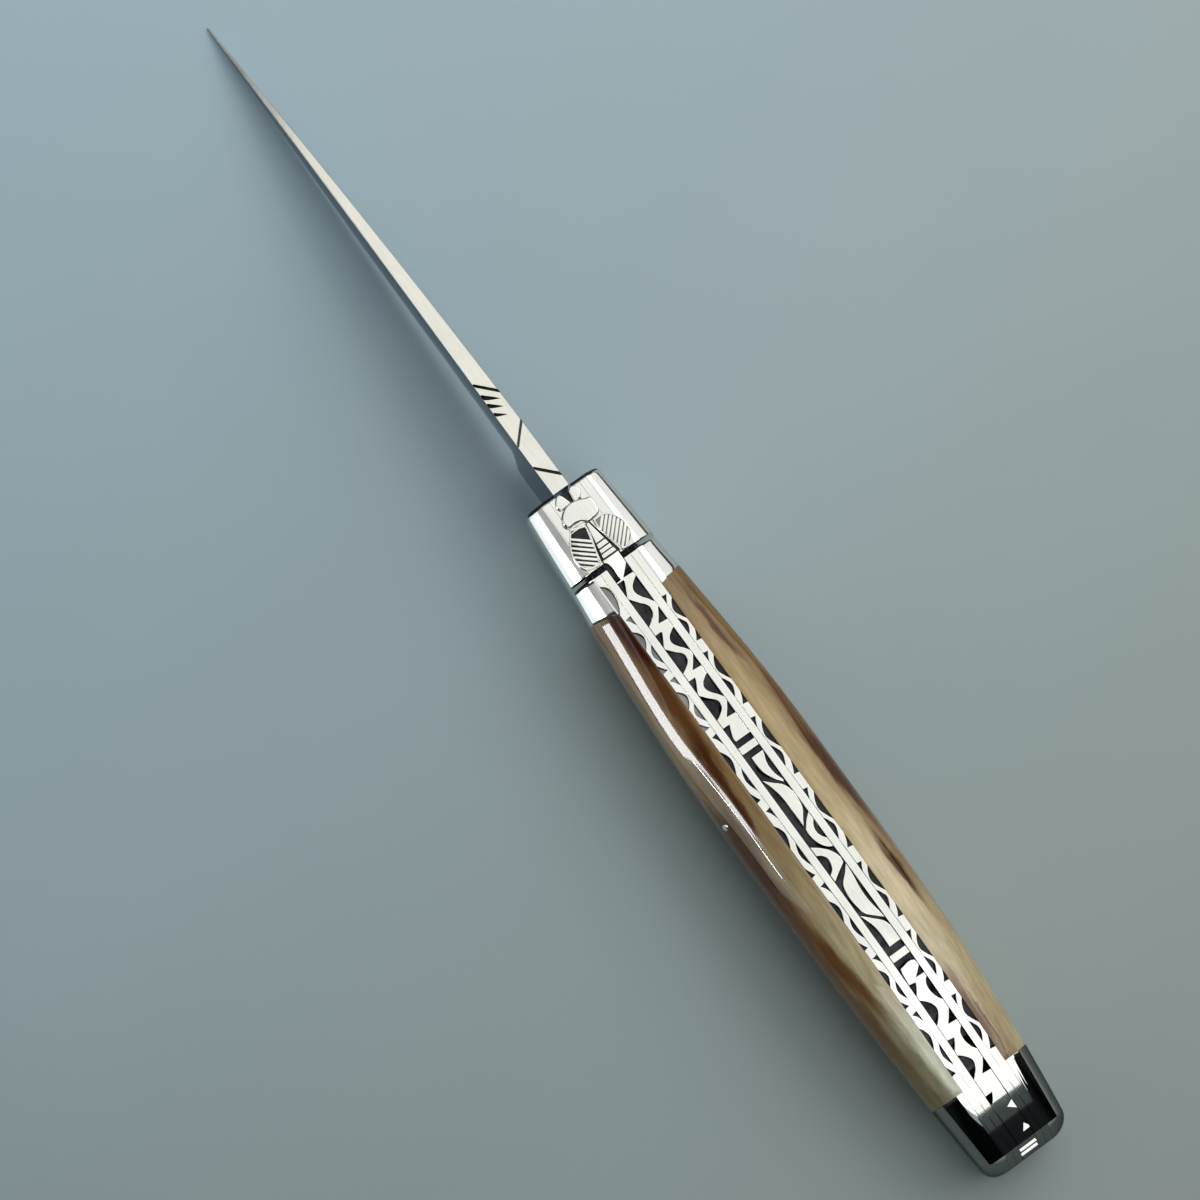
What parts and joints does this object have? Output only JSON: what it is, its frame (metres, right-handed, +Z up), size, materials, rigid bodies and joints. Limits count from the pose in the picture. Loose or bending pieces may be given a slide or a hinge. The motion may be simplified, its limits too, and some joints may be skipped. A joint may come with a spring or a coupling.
{
  "type": "folding pocket knife",
  "caption": "Slip-joint folding knife with a slim pointed blade, horn scales, steel bolsters at both ends, paired liners and a back spring with a bee at its head.",
  "frame": {"origin": "on the surface that the open knife stands on, under the middle of its bounding box", "axes": "+X from the handle's tail to the blade's tip, +Y to the knife's left, +Z up out of the spine"},
  "size_m": [0.212, 0.02, 0.0195],
  "materials": {
    "blade_steel": "satin",
    "spring_steel": "polished, chiselled",
    "liner_steel": "polished",
    "bolster_steel": "polished",
    "pin_steel": "polished",
    "horn": "polished horn"
  },
  "bodies": {
    "handle": {"back_spring": "spring_steel", "bee_ornament": "spring_steel", "centre_scale_pins": "pin_steel", "front_bolster_left": "bolster_steel", "front_bolster_right": "bolster_steel", "front_bolster_rivets": "pin_steel", "front_scale_pins": "pin_steel", "horn_scale_left": "horn", "horn_scale_right": "horn", "inner_liner_left": "liner_steel", "inner_liner_right": "liner_steel", "outer_liner_left": "liner_steel", "outer_liner_right": "liner_steel", "pivot_pin": "pin_steel", "rear_bolster_left": "bolster_steel", "rear_bolster_right": "bolster_steel", "rear_bolster_rivets": "pin_steel", "rear_scale_pins": "pin_steel", "spring_middle_pin": "pin_steel", "spring_tail_pin": "pin_steel"},
    "blade": {"blade": "blade_steel"}
  },
  "joints": [
    {"name": "blade_fold", "type": "hinge", "parent": "handle", "child": "blade", "pos_m": [0.00623, 0, 0.00796], "axis": [0, 1, 0], "range_deg": [0, 175], "deforming": ["back_spring"]}
  ]
}
